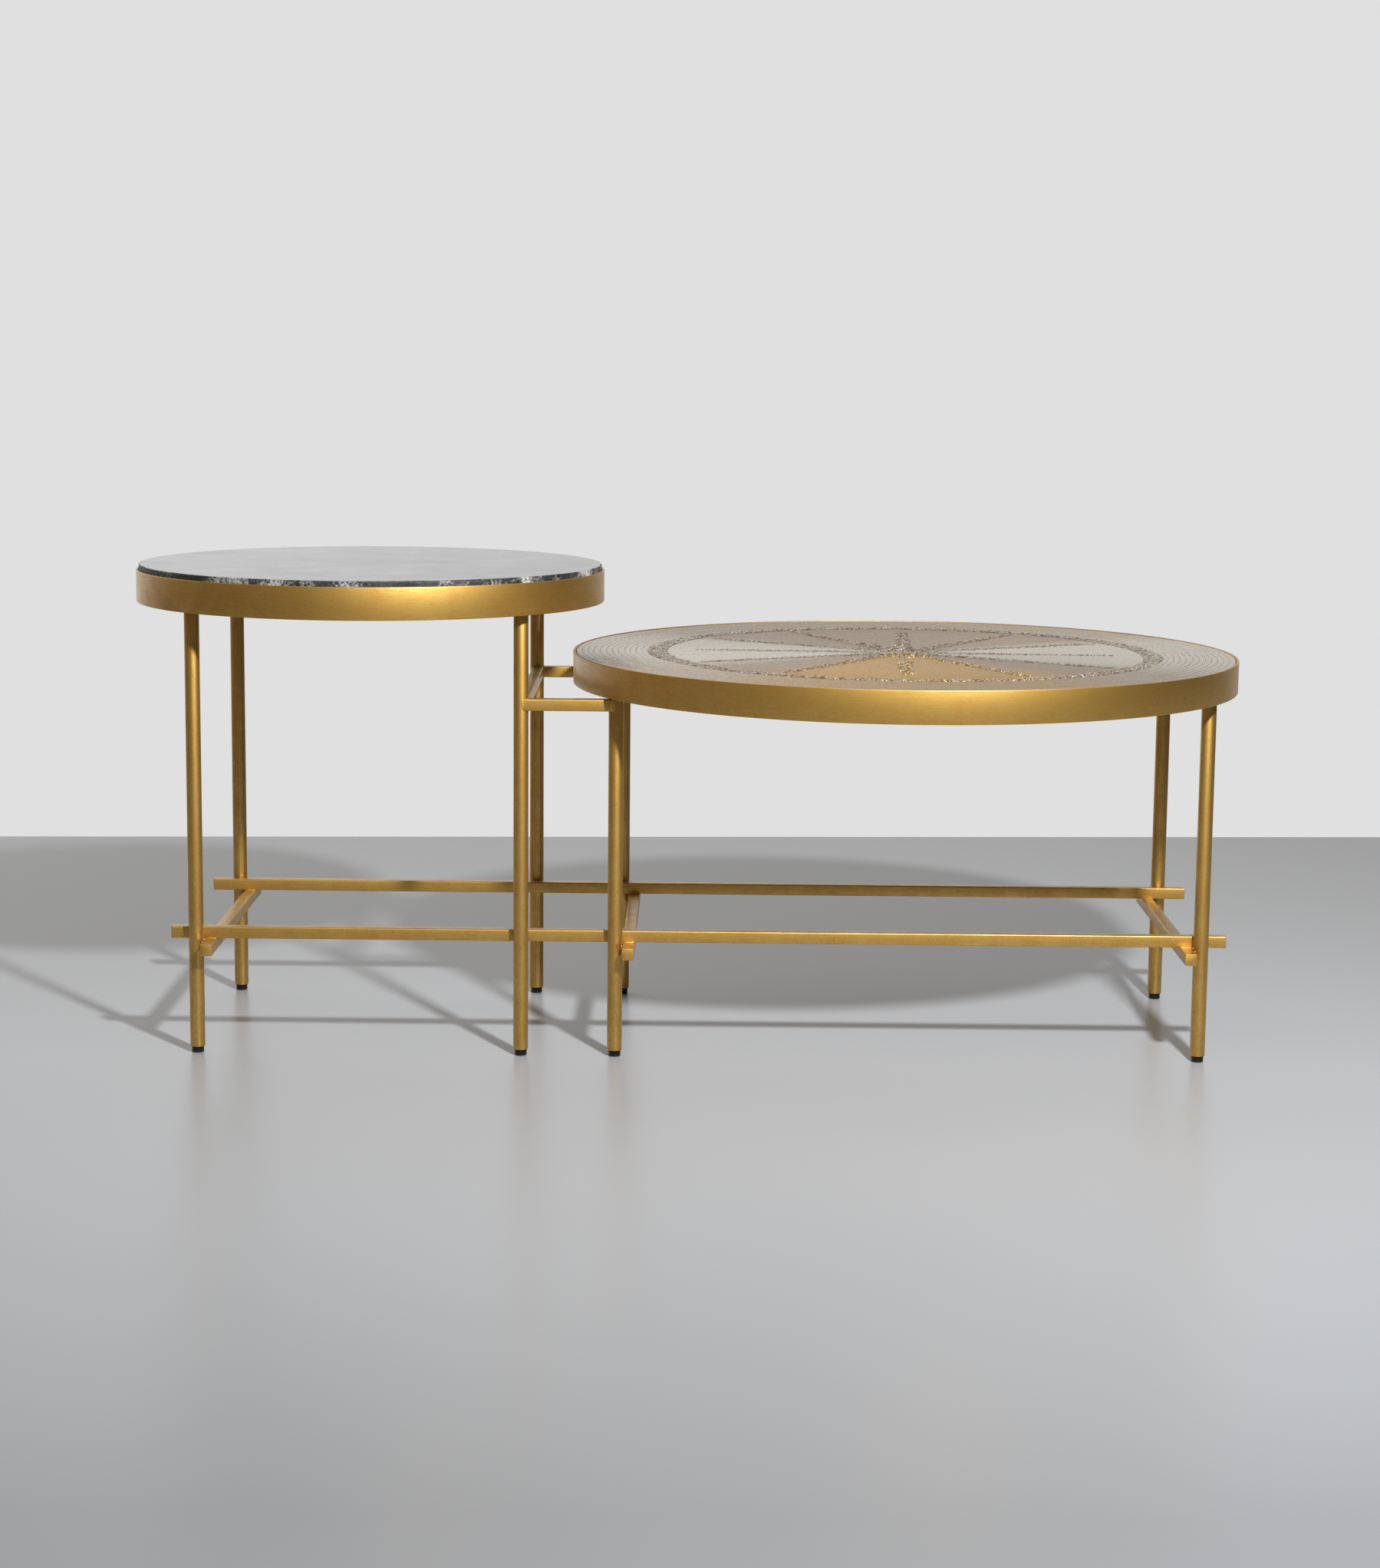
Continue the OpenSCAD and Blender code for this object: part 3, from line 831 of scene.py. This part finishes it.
class TABLES_OT_stone(bpy.types.Operator):
    """Cut the marble disc, polished on top and broken along its upper edge"""

    bl_idname = "tables.stone"
    bl_label = "Marble top"

    def execute(self, context):
        low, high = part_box("stone_top_disc")
        centre = (low + high) / 2
        outer = (high.x - low.x) / 2
        edge = [(outer, high.z - drop * MM) for drop in (7.5, 5, 3.4, 2.2, 1.4)]
        shoulder = [(outer - inset * MM, high.z - drop * MM)
                    for inset, drop in ((0.1, 0.9), (0.35, 0.45), (0.8, 0.15), (1.5, 0))]
        face = [(outer - inset * MM, high.z) for inset in (3, 8, 40, 150)]
        outline = [(0, low.z), (outer - 1 * MM, low.z), (outer, low.z + 1 * MM)]
        outline += edge + shoulder + face + [(0, high.z)]
        bm = bmesh.new()
        draw_outline(bm, outline, closed=False)
        spin_outline(bm, 640, sectors=8)
        close_up(bm)
        self.break_edge(bm, outer, high.z)
        move_to(bm, (centre.x, centre.y, 0))
        for polygon in bm.faces:
            polygon.material_index = 0 if polygon.normal.z > 0.97 else 1
        make_piece(bm, "marble_disc", "stone_top",
                   [get_material("Polished_dark_marble", polished_marble),
                    get_material("Broken_edge_of_dark_marble", broken_marble)],
                   ["stone_top_disc"], sharp=50)
        coat_node("stone_bumpers", get_material("Clear_silicone", soft_silicone))
        return {"FINISHED"}

    def break_edge(self, bm, outer, top):
        """Knocks small chips, 2 to 9 mm long, out of the disc's upper edge."""
        reach, chip_depth, chip_length, notch_length = 6 * MM, 1.6 * MM, 6 * MM, 2.3 * MM
        middle_height = top - 0.8 * MM
        for vert in bm.verts:
            radius = vert.co.xy.length
            if radius < outer - 2 * MM or vert.co.z < top - reach:
                continue
            depth = noise.noise(vert.co / chip_length) + 0.5 * noise.noise(vert.co / notch_length)
            chip = max(0.0, depth - 0.12) * chip_depth
            fade = 1 - abs(middle_height - vert.co.z) / reach
            vert.co.xy *= 1 - chip * fade / radius
            if radius > outer - 1 * MM:
                vert.co.z -= chip * fade * 0.5
        bm.normal_update()


class EmbossedPattern:
    """The pressed pattern of the low top, measured from the middle of the disc."""

    spoke_turn = math.radians(-3)
    hub_radius = 72 * MM
    # Half the width of a spoke, and how much wider it flares towards the middle.
    spoke_half = 9.5 * MM
    spoke_flare = 7 * MM
    flare_reach = 70 * MM
    # Half the width of the dip that a spoke lies in, and its depth.
    dip_half = 14 * MM
    dip_depth = 0.25 * MM
    # Depth of the petals and of the beaded ground below the sheet's top.
    petal_depth = 0.15 * MM
    bead_ground = 0.5 * MM
    # Where the fine arcs of the petals begin, as a share of the outer radius, and their depth.
    arcs_start = 0.53
    arc_depth = 0.35 * MM

    def __init__(self, shape):
        low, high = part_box("embossed_sheet")
        self.centre = (low + high) / 2
        self.top = high.z
        self.skirt = low.z
        self.outer = (high.x - low.x) / 2
        self.shape = shape
        self.rim_start = self.outer - shape.rim_width
        self.ring_start = self.rim_start - shape.ring_width
        self.spoke_step = math.tau / shape.spokes

    def spoke_offset(self, radius, angle):
        """Number of the nearest spoke, and the distance to its middle line."""
        turned = angle - self.spoke_turn
        number = round(turned / self.spoke_step)
        return number % self.shape.spokes, radius * math.sin(turned - number * self.spoke_step)

    def spoke_half_width(self, number, radius):
        """Half the width of a spoke, which narrows outwards and ends short of the ring."""
        quarter = self.shape.spokes // 4
        sideways, upright = number % (2 * quarter) == 0, number % (2 * quarter) == quarter
        end = self.outer * (0.635 if sideways else 0.60 if upright else 0.70)
        if radius > end:
            return 0.0
        taper = (5 if sideways else 2.5) * MM * radius / end
        return self.spoke_half - taper + self.spoke_flare * math.exp(-radius / self.flare_reach)

    def beaded(self, radius, angle):
        """Whether a point is covered with beads."""
        if self.ring_start < radius < self.rim_start:
            return True
        if radius > self.ring_start:
            return False
        number, offset = self.spoke_offset(radius, angle)
        star = self.hub_radius * (1.25 - 0.5 * abs(math.sin(self.shape.spokes * 0.5
                                                            * (angle - self.spoke_turn))))
        return radius < star or abs(offset) < self.spoke_half_width(number, radius)

    def height(self, radius, angle):
        """Height of a point from the sheet's top, and its relief as the metal's material reads it."""
        way = Vector((math.cos(angle), math.sin(angle), 0))
        wave = noise.noise(way * 3.1 + Vector((0, 0, radius / (70 * MM))))
        wave += 0.4 * noise.noise(way * 9 + Vector((0, 0, radius / (25 * MM))))
        if radius >= self.rim_start:
            return self.ridge(radius, wave)
        if radius >= self.ring_start:
            return -self.bead_ground, 0.09
        return self.petal(radius, angle, wave)

    def ridge(self, radius, wave):
        """The rim's ridges: rounded crests with narrow brown valleys, wandering a little."""
        phase = (radius - self.rim_start + wave * 2.2 * MM) / self.shape.ridge_pitch
        crest = abs(math.sin(math.pi * phase)) ** 0.55
        return (crest - 0.75) * self.shape.ridge_depth, 0.03 + 0.47 * crest ** 1.5

    def petal(self, radius, angle, wave):
        """A petal: plain, with fine arcs in its outer part, browned in the dips beside the spokes and
        darker round the hub.
        """
        number, offset = self.spoke_offset(radius, angle)
        on_spoke = self.spoke_half_width(number, radius) > 0
        near = min(1.0, abs(offset) / self.dip_half) if on_spoke else 1.0
        start = self.arcs_start * self.outer
        arcs = min(1.0, max(0.0, (radius - start) / (0.2 * self.outer)))
        phase = (radius + wave * 2.5 * MM) / self.shape.arc_pitch
        crest = abs(math.sin(math.pi * phase)) ** 0.6
        groove = (1 - crest) * arcs * near
        halo = 0.36 * math.exp(-(radius / (1.25 * self.hub_radius)) ** 2)
        brown = 0.35 * groove + 0.4 * (1 - near) ** 2 + halo
        lift = -self.petal_depth - groove * self.arc_depth - self.dip_depth * (1 - near)
        return lift, max(0.04, 0.5 - brown)


class TABLES_OT_embossed_sheet(bpy.types.Operator):
    """Press the embossed sheet: a ridged rim, fine arcs and plain petals"""

    bl_idname = "tables.embossed_sheet"
    bl_label = "Embossed sheet"

    def execute(self, context):
        shape = context.scene.nesting_tables.shape
        pattern = EmbossedPattern(shape)
        bm = bmesh.new()
        draw_outline(bm, self.outline(pattern), closed=False)
        spin_outline(bm, 360, sectors=12)
        close_up(bm)
        relief = bm.verts.layers.float.new("relief")
        flat_border = 2.5 * MM
        for vert in bm.verts:
            vert[relief] = 0.5
            if vert.co.z < pattern.top - 0.01 * MM:
                continue
            radius = vert.co.xy.length
            lift, crest = pattern.height(radius, math.atan2(vert.co.y, vert.co.x))
            settle = min(1.0, max(0.0, (pattern.outer - radius) / flat_border))
            vert.co.z += lift * settle
            vert[relief] = crest
        move_to(bm, (pattern.centre.x, pattern.centre.y, 0))
        make_piece(bm, "embossed_face", "frame",
                   [get_material("Antiqued_embossed_metal", embossed_metal)], ["embossed_sheet"],
                   sharp=60)
        return {"FINISHED"}

    def outline(self, pattern):
        """Half of the sheet's section: face, rolled edge, skirt and inner side."""
        shape = pattern.shape
        plain = pattern.outer * pattern.arcs_start
        radii = [i * plain / 44 for i in range(44)]
        arcs = round((pattern.ring_start - plain) / (shape.arc_pitch / 5.5))
        radii += [plain + i * (pattern.ring_start - plain) / arcs for i in range(arcs)]
        radii += [pattern.ring_start + i * shape.ring_width / 6 for i in range(6)]
        crests = round(shape.rim_width / shape.ridge_pitch * 8)
        edge = pattern.outer - 0.7 * MM
        radii += [pattern.rim_start + i * (edge - pattern.rim_start) / crests
                  for i in range(crests + 1)]
        roll = [(pattern.outer - 0.2 * MM, pattern.top - 0.2 * MM),
                (pattern.outer, pattern.top - 0.7 * MM)]
        inner = pattern.outer - SHEET_WALL
        under = pattern.top - SHEET_WALL
        skirt = [(pattern.outer, pattern.skirt), (inner, pattern.skirt), (inner, under)]
        return [(r, pattern.top) for r in radii] + roll + skirt + [(0, under)]


class TABLES_OT_embossed_beads(bpy.types.Operator):
    """Raise the beads of the ring, the spokes and the star in the middle"""

    bl_idname = "tables.embossed_beads"
    bl_label = "Embossed beads"

    def execute(self, context):
        shape = context.scene.nesting_tables.shape
        pattern = EmbossedPattern(shape)
        draw = random.Random(12)
        # How pale each bead's top is: rubbed metal and painted highlight.
        beads = [self.bead_mesh(rubbed) for rubbed in (0.2, 0.7, 1.0, 1.0)]
        bm = bmesh.new()
        bm.verts.layers.float.new("relief")
        for x, y in self.places(pattern, draw):
            bead = draw.choice(beads)
            size = shape.bead_pitch * draw.uniform(0.36, 0.52)
            tall = shape.bead_height * draw.uniform(0.7, 1.1)
            turn = Matrix.Rotation(draw.uniform(0, math.tau), 4, "Z")
            place = Matrix.Translation((x, y, pattern.top - pattern.bead_ground)) @ turn
            place @= Matrix.Diagonal((size * draw.uniform(0.85, 1.15), size, tall, 1))
            bead.transform(place)
            bm.from_mesh(bead)
            bead.transform(place.inverted())
        for bead in beads:
            bpy.data.meshes.remove(bead)
        move_to(bm, (pattern.centre.x, pattern.centre.y, 0))
        make_piece(bm, "embossed_beading", "frame",
                   [get_material("Antiqued_embossed_metal", embossed_metal)], sharp=80)
        return {"FINISHED"}

    def bead_mesh(self, rubbed):
        """A dome of radius 1 and height 1, dark at its foot and more or less pale on top: rubbed metal
        and a painted highlight.
        """
        bm = bmesh.new()
        draw_outline(bm, [(1.0, 0.0), (0.8, 0.6), (0.0, 1.0)], closed=False)
        spin_outline(bm, 6)
        close_up(bm)
        if sum(face.normal.z for face in bm.faces) < 0:
            bmesh.ops.reverse_faces(bm, faces=bm.faces[:])
        relief = bm.verts.layers.float.new("relief")
        for vert in bm.verts:
            vert[relief] = vert.co.z * rubbed
        mesh = bpy.data.meshes.new("bead")
        bm.to_mesh(mesh)
        bm.free()
        return mesh

    def places(self, pattern, draw):
        """Jittered places on a honeycomb grid, kept where the pattern is beaded."""
        pitch = pattern.shape.bead_pitch
        rows = math.ceil(pattern.rim_start / (pitch * 0.866))
        found = []
        for row in range(-rows, rows + 1):
            for column in range(-rows, rows + 1):
                x = (column + 0.5 * (row % 2)) * pitch + draw.uniform(-0.22, 0.22) * pitch
                y = row * pitch * 0.866 + draw.uniform(-0.22, 0.22) * pitch
                if pattern.beaded(math.hypot(x, y), math.atan2(y, x)):
                    found.append((x, y))
        return found


class TABLES_OT_feet(bpy.types.Operator):
    """Mould the foot pads and cut the threads of their studs"""

    bl_idname = "tables.feet"
    bl_label = "Levelling feet"

    def execute(self, context):
        plastic = get_material("Moulded_black_plastic", moulded_plastic)
        zinc = get_material("Bright_zinc_plate", zinc_plate)
        for leg in LEGS:
            self.pad(leg, plastic)
            self.stud(leg, zinc)
        return {"FINISHED"}

    def pad(self, leg, material):
        """A round pad with a rolled lower edge, a shallow waist and a chamfered shoulder."""
        low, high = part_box(leg + "_foot_pad")
        centre = (low + high) / 2
        outer = (high.x - low.x) / 2
        stud_low, stud_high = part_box(leg + "_foot_stud")
        hole = (stud_high.x - stud_low.x) / 2
        roll = 1.6 * MM
        arc = [(outer - roll * (1 - math.sin(a)), low.z + roll * (1 - math.cos(a)))
               for a in (math.radians(15 * i) for i in range(7))]
        waist = [(outer, low.z + 3.6 * MM), (outer - 0.5 * MM, low.z + 4.1 * MM),
                 (outer - 0.5 * MM, low.z + 4.7 * MM), (outer, low.z + 5.2 * MM)]
        shoulder = [(outer, high.z - 0.7 * MM), (outer - 0.2 * MM, high.z - 0.2 * MM),
                    (outer - 0.7 * MM, high.z), (hole, high.z), (hole, stud_low.z), (0, stud_low.z)]
        bm = bmesh.new()
        draw_outline(bm, [(0, low.z)] + arc + waist + shoulder, closed=False)
        spin_outline(bm, 40)
        close_up(bm)
        move_to(bm, (centre.x, centre.y, 0))
        make_piece(bm, leg + "_glide", leg + "_foot", [material],
                   [leg + "_foot_pad"])

    def stud(self, leg, material):
        """A stud with a 1.25 mm thread, drawn as rings."""
        low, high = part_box(leg + "_foot_stud")
        centre = (low + high) / 2
        outer = (high.x - low.x) / 2
        root = outer - THREAD_DEPTH
        teeth = int((high.z - low.z - 1 * MM) / THREAD_PITCH)
        outline = [(0, low.z), (root, low.z)]
        for tooth in range(teeth):
            z = low.z + tooth * THREAD_PITCH
            outline += [(outer, z + 0.5 * THREAD_PITCH), (root, z + THREAD_PITCH)]
        outline += [(root, high.z), (0, high.z)]
        bm = bmesh.new()
        draw_outline(bm, outline, closed=False)
        spin_outline(bm, 24)
        close_up(bm)
        move_to(bm, (centre.x, centre.y, 0))
        make_piece(bm, leg + "_thread", leg + "_foot", [material],
                   [leg + "_foot_stud"])


class TABLES_OT_hidden_parts(bpy.types.Operator):
    """Finish the parts under the tops: board, screws and leg inserts"""

    bl_idname = "tables.hidden_parts"
    bl_label = "Parts under the tops"

    def execute(self, context):
        zinc = get_material("Bright_zinc_plate", zinc_plate)
        coat_node("low_board", get_material("Raw_fibreboard", raw_fibreboard))
        coat_node("board_screws", zinc)
        coat_node("leg_inserts", zinc)
        return {"FINISHED"}


class TABLES_OT_stage(bpy.types.Operator):
    """Set up the floor, the studio light and the camera"""

    bl_idname = "tables.stage"
    bl_label = "Stage"

    def execute(self, context):
        settings = context.scene.nesting_tables
        self.floor(settings)
        self.world(context.scene, settings)
        self.key_light(context.scene, settings.stage)
        self.camera(context.scene, settings.stage)
        context.scene.view_settings.view_transform = "Standard"
        return {"FINISHED"}

    def floor(self, settings):
        """A pale floor with a soft sheen and painted shade that darkens it towards the front."""
        material, tree, place = start_material("Plain_studio_floor")
        axes = add_node(tree, "ShaderNodeSeparateXYZ", {"Vector": place})
        # Painted shade: the floor's colour darkens towards the front.
        near = add_node(tree, "ShaderNodeMapRange",
                        {"Value": axes.outputs["Y"], "From Min": -1.7, "From Max": -0.2,
                         "To Min": 0.4, "To Max": 0.9})
        colour = add_node(tree, "ShaderNodeVectorMath",
                          {0: settings.finish.floor[:3], "Scale": near.outputs["Result"]},
                          operation="SCALE")
        end_material(tree, {"Base Color": colour.outputs["Vector"], "Roughness": 0.3, "IOR": 1.45})
        depth, width = 10.0, 16.0
        bm = bmesh.new()
        bmesh.ops.create_grid(bm, x_segments=1, y_segments=1, size=0.5,
                              matrix=Matrix.Translation((0, settings.stage.floor_end, 0))
                              @ Matrix.Rotation(settings.stage.floor_turn, 4, "Z")
                              @ Matrix.Translation((0, -depth / 2, 0))
                              @ Matrix.Diagonal((width, depth, 1, 1)))
        mesh = bpy.data.meshes.new("studio_floor")
        bm.to_mesh(mesh)
        bm.free()
        mesh.materials.append(material)
        floor = bpy.data.objects.new("studio_floor", mesh)
        bpy.context.scene.collection.objects.link(floor)

    def world(self, scene, settings):
        """A soft room of light: bright behind, calmer in front and darker overhead."""
        stage = settings.stage
        world = bpy.data.worlds.new("Soft_studio")
        scene.world = world
        world.use_nodes = True
        tree = world.node_tree
        tree.nodes.clear()
        way = add_node(tree, "ShaderNodeTexCoord").outputs["Generated"]
        axes = add_node(tree, "ShaderNodeSeparateXYZ", {"Vector": way})
        raised = add_node(tree, "ShaderNodeMath", {0: axes.outputs["Z"], 1: 0.5, 2: axes.outputs["Y"]},
                          operation="MULTIPLY_ADD")
        behind = add_node(tree, "ShaderNodeMapRange",
                          {"Value": raised.outputs["Value"], "From Min": 0.3, "From Max": 0.9},
                          interpolation_type="SMOOTHSTEP")
        glow = add_node(tree, "ShaderNodeMapRange",
                        {"Value": behind.outputs["Result"], "To Min": stage.glow_front,
                         "To Max": stage.glow_back})
        side = add_node(tree, "ShaderNodeMapRange",
                        {"Value": axes.outputs["X"], "From Min": -1.0, "From Max": 1.0,
                         "To Min": 1.35, "To Max": 0.15})
        strength = add_node(tree, "ShaderNodeMath",
                            {0: glow.outputs["Result"], 1: side.outputs["Result"]},
                            operation="MULTIPLY")
        tint = add_node(tree, "ShaderNodeMix",
                        {0: behind.outputs["Result"], MIX_A: settings.finish.room,
                         MIX_B: (1, 1, 1, 1)}, data_type="RGBA")
        room = add_node(tree, "ShaderNodeBackground",
                        {"Color": tint.outputs[MIX_RESULT], "Strength": strength.outputs["Value"]})
        backdrop = add_node(tree, "ShaderNodeBackground", {"Color": settings.finish.backdrop})
        seen = add_node(tree, "ShaderNodeLightPath").outputs["Is Camera Ray"]
        both = add_node(tree, "ShaderNodeMixShader",
                        {0: seen, 1: room.outputs["Background"], 2: backdrop.outputs["Background"]})
        add_node(tree, "ShaderNodeOutputWorld", {"Surface": both.outputs["Shader"]})

    def key_light(self, scene, stage):
        """A small light high on the right, so that the bands throw clear shadows on the legs."""
        light = bpy.data.lights.new("key_light", "AREA")
        light.shape = "DISK"
        light.size = stage.key_size
        light.energy = stage.key_power
        lamp = bpy.data.objects.new("key_light", light)
        scene.collection.objects.link(lamp)
        lamp.location = stage.key_place
        aim = Vector((0, 0, 0.35)) - Vector(stage.key_place)
        lamp.rotation_euler = aim.to_track_quat("-Z", "Y").to_euler()
        lamp.visible_camera = False

    def camera(self, scene, stage):
        """The camera stands in front, a little above the tops and tilted down."""
        tilt, turn, roll = stage.camera_tilt
        data = bpy.data.cameras.new("camera")
        data.lens = stage.lens
        data.sensor_width = 36
        camera = bpy.data.objects.new("camera", data)
        scene.collection.objects.link(camera)
        level = Matrix.Rotation(-turn, 4, "Z") @ Matrix.Rotation(math.pi / 2 - tilt, 4, "X")
        camera.matrix_world = (Matrix.Translation(stage.camera_place) @ level
                               @ Matrix.Rotation(roll, 4, "Z"))
        scene.camera = camera


class TABLES_PT_panel(bpy.types.Panel):
    """The table's settings and its pieces, in the order they are made"""

    bl_idname = "TABLES_PT_panel"
    bl_label = "Nesting tables"
    bl_space_type = "VIEW_3D"
    bl_region_type = "UI"
    bl_category = "Tables"

    def draw(self, context):
        settings = context.scene.nesting_tables
        for group in (settings.finish, settings.shape, settings.stage):
            box = self.layout.box()
            for name in group.__annotations__:
                box.prop(group, name)
        for operator in OPERATORS:
            self.layout.operator(operator.bl_idname)


SETTINGS = (FinishSettings, ShapeSettings, StageSettings, TableSettings)
OPERATORS = (TABLES_OT_bands, TABLES_OT_legs, TABLES_OT_bars, TABLES_OT_welds, TABLES_OT_stone,
             TABLES_OT_embossed_sheet, TABLES_OT_embossed_beads, TABLES_OT_feet,
             TABLES_OT_hidden_parts, TABLES_OT_stage)


def register():
    """Registers the settings, the operators and the panel."""
    for cls in (*SETTINGS, *OPERATORS, TABLES_PT_panel):
        bpy.utils.register_class(cls)
    bpy.types.Scene.nesting_tables = PointerProperty(type=TableSettings)


def unregister():
    """Removes everything that register() added."""
    del bpy.types.Scene.nesting_tables
    for cls in reversed((*SETTINGS, *OPERATORS, TABLES_PT_panel)):
        bpy.utils.unregister_class(cls)


def main():
    """Makes every piece in order."""
    register()
    for operator in OPERATORS:
        group, name = operator.bl_idname.split(".")
        getattr(getattr(bpy.ops, group), name)()


if __name__ == "__main__":
    main()
